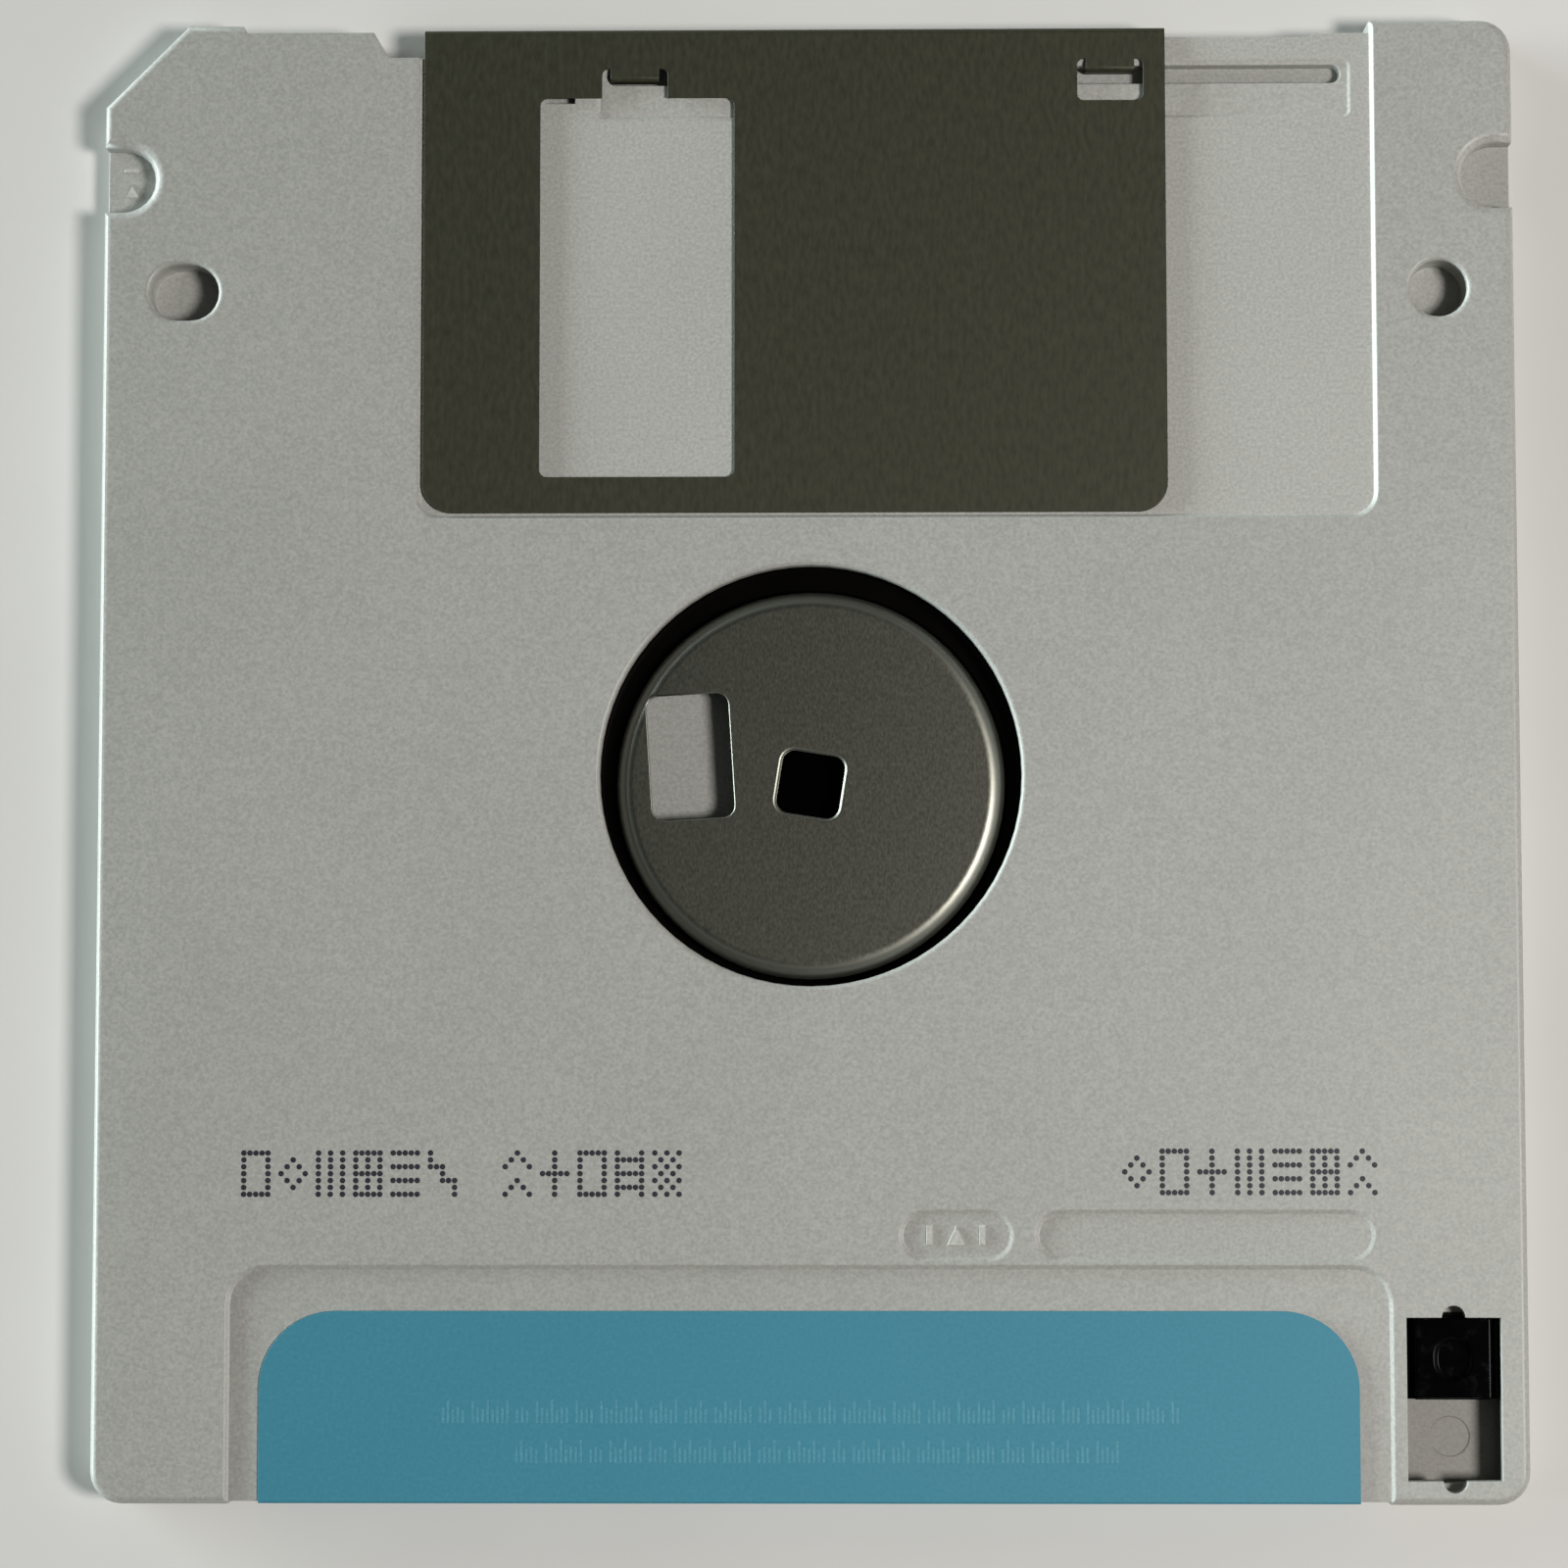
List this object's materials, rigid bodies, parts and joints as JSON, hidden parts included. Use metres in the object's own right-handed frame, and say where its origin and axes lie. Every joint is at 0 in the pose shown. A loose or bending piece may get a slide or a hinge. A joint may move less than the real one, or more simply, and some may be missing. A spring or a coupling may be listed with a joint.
{
  "type": "floppy disk",
  "caption": "Thin square cartridge with a spinning magnetic disk on a steel hub, a sprung sliding metal shutter, a write-protect slider and a blank label that wraps one edge.",
  "frame": {"origin": "centre of the case's 90 by 94 mm footprint, on the label-side face that the disk lies on", "axes": "+X along the shutter's opening travel, +Y towards the leading edge that enters the drive, +Z out of the hub side"},
  "size_m": [0.09, 0.094, 0.0033],
  "materials": {
    "case_plastic": "fine matte moulded texture",
    "shutter_metal": "dark satin coating",
    "spring_steel": "drawn wire",
    "medium_film": "smooth dark coated film",
    "hub_steel": "satin, bright rolled shoulder",
    "adhesive": "adhesive film",
    "liner_fabric": "non-woven fabric",
    "lifter_film": "plain film",
    "black_plastic": "smooth black moulding",
    "label_paper": "coated blue paper"
  },
  "bodies": {
    "case": {"hub_side_shell": "case_plastic", "label_side_shell": "case_plastic", "shutter_spring": "spring_steel", "hub_side_liner": "liner_fabric", "label_side_liner": "liner_fabric", "liner_lifter": "lifter_film", "wear_button": "black_plastic", "label": "label_paper"},
    "shutter": {"shutter": "shutter_metal"},
    "disk": {"magnetic_disk": "medium_film", "hub_plate": "hub_steel", "hub_adhesive_ring": "adhesive"},
    "slider": {"write_protect_slider": "black_plastic"}
  },
  "joints": [
    {"name": "shutter_slide", "type": "slide", "parent": "case", "child": "shutter", "axis": [1, 0, 0], "range_m": [0, 0.0129], "stiffness_N_per_m": 30, "springref_m": -0.008, "deforming": ["shutter_spring"]},
    {"name": "disk_spin", "type": "hinge", "parent": "case", "child": "disk", "pos_m": [0.0002, -0.00194, 0.0014], "axis": [0, 0, 1], "continuous": true},
    {"name": "write_protect_slide", "type": "slide", "parent": "case", "child": "slider", "axis": [0, -1, 0], "range_m": [0, 0.005]}
  ]
}
